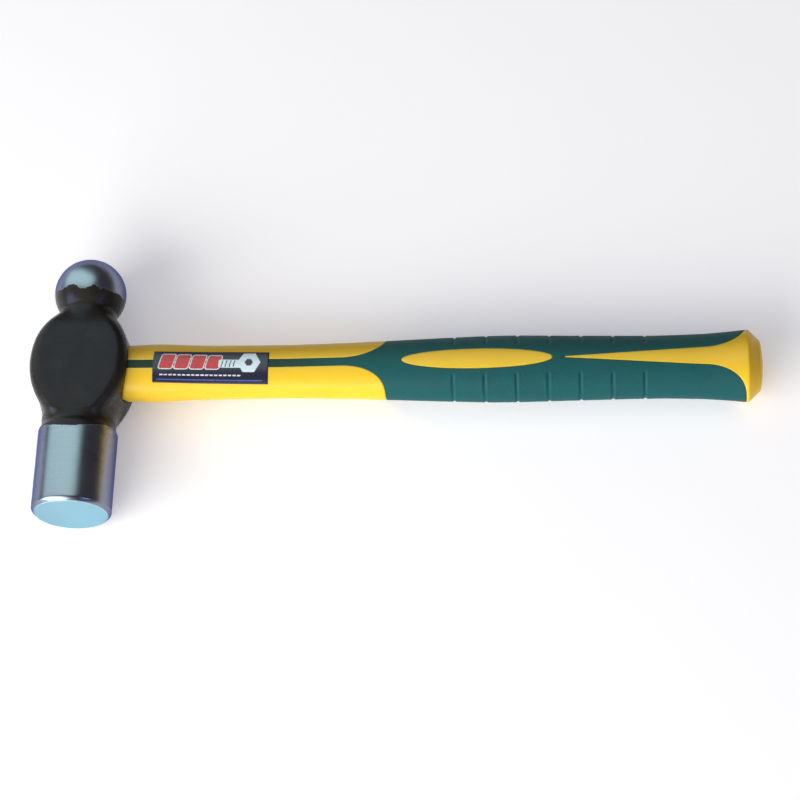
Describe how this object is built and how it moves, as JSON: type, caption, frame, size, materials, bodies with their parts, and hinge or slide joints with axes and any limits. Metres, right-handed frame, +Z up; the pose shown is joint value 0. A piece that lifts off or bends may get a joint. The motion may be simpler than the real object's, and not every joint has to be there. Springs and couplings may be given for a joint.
{
  "type": "ball peen hammer",
  "caption": "Ball peen hammer: cylindrical striking face, ball end, oval eye body, and a fibreglass-cored plastic handle with an inlaid rubber grip.",
  "frame": {"origin": "middle of the underside of the bounding box, with the hammer lying on its side", "axes": "+X along the handle from the head to the butt, +Y along the head towards the ball, -Y out of the striking face, +Z up out of the upper cheek, which is the side with the label"},
  "size_m": [0.3491, 0.1336, 0.038],
  "materials": {
    "forged_steel": "satin",
    "yellow_plastic": "satin",
    "green_rubber": "satin",
    "fibreglass": "matte",
    "epoxy": "gloss",
    "sealing_cord": "matte",
    "label_film": "gloss"
  },
  "bodies": {
    "root": {"hammer_head": "forged_steel", "handle_jacket": "yellow_plastic", "grip_sleeve": "green_rubber", "core_rod": "fibreglass", "eye_resin": "epoxy", "resin_dam": "sealing_cord", "handle_label": "label_film"}
  },
  "joints": []
}
